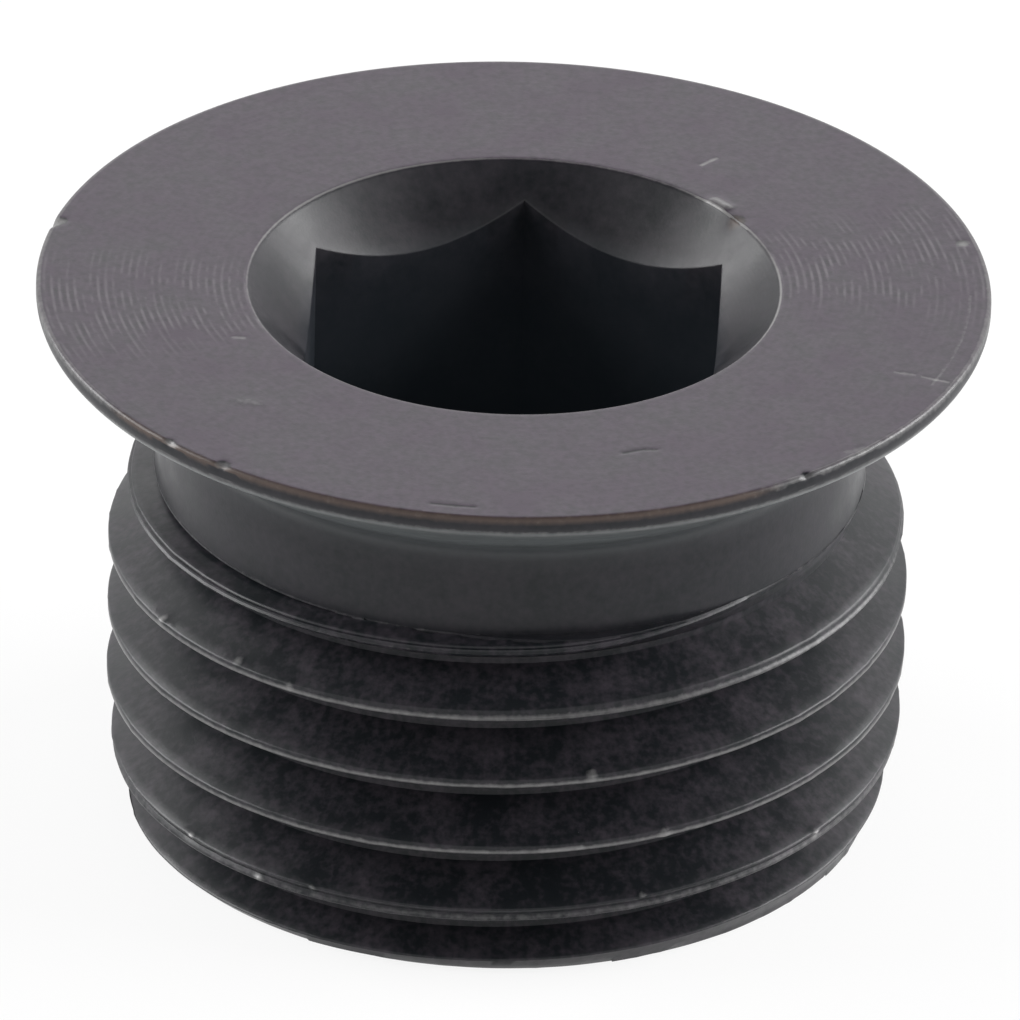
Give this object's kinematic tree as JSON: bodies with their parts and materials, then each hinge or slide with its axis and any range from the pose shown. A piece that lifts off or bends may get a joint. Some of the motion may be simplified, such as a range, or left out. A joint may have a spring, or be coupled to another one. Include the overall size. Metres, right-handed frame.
{
  "type": "hex socket plug",
  "caption": "Flanged hex socket plug with a short external fine thread and a relieved neck, for closing a threaded port in a housing.",
  "frame": {"origin": "centre of the threaded end face, which the plug stands on", "axes": "+Z along the plug's axis, from the threaded end up to the flange; +Y and -Y point to two opposite corners of the hexagon"},
  "size_m": [0.0188, 0.0188, 0.0113],
  "materials": {
    "black_oxide_steel": "black oxide over turned steel, worn to the metal at the edges"
  },
  "bodies": {
    "root": {"hex_socket_plug": "black_oxide_steel"}
  },
  "joints": []
}
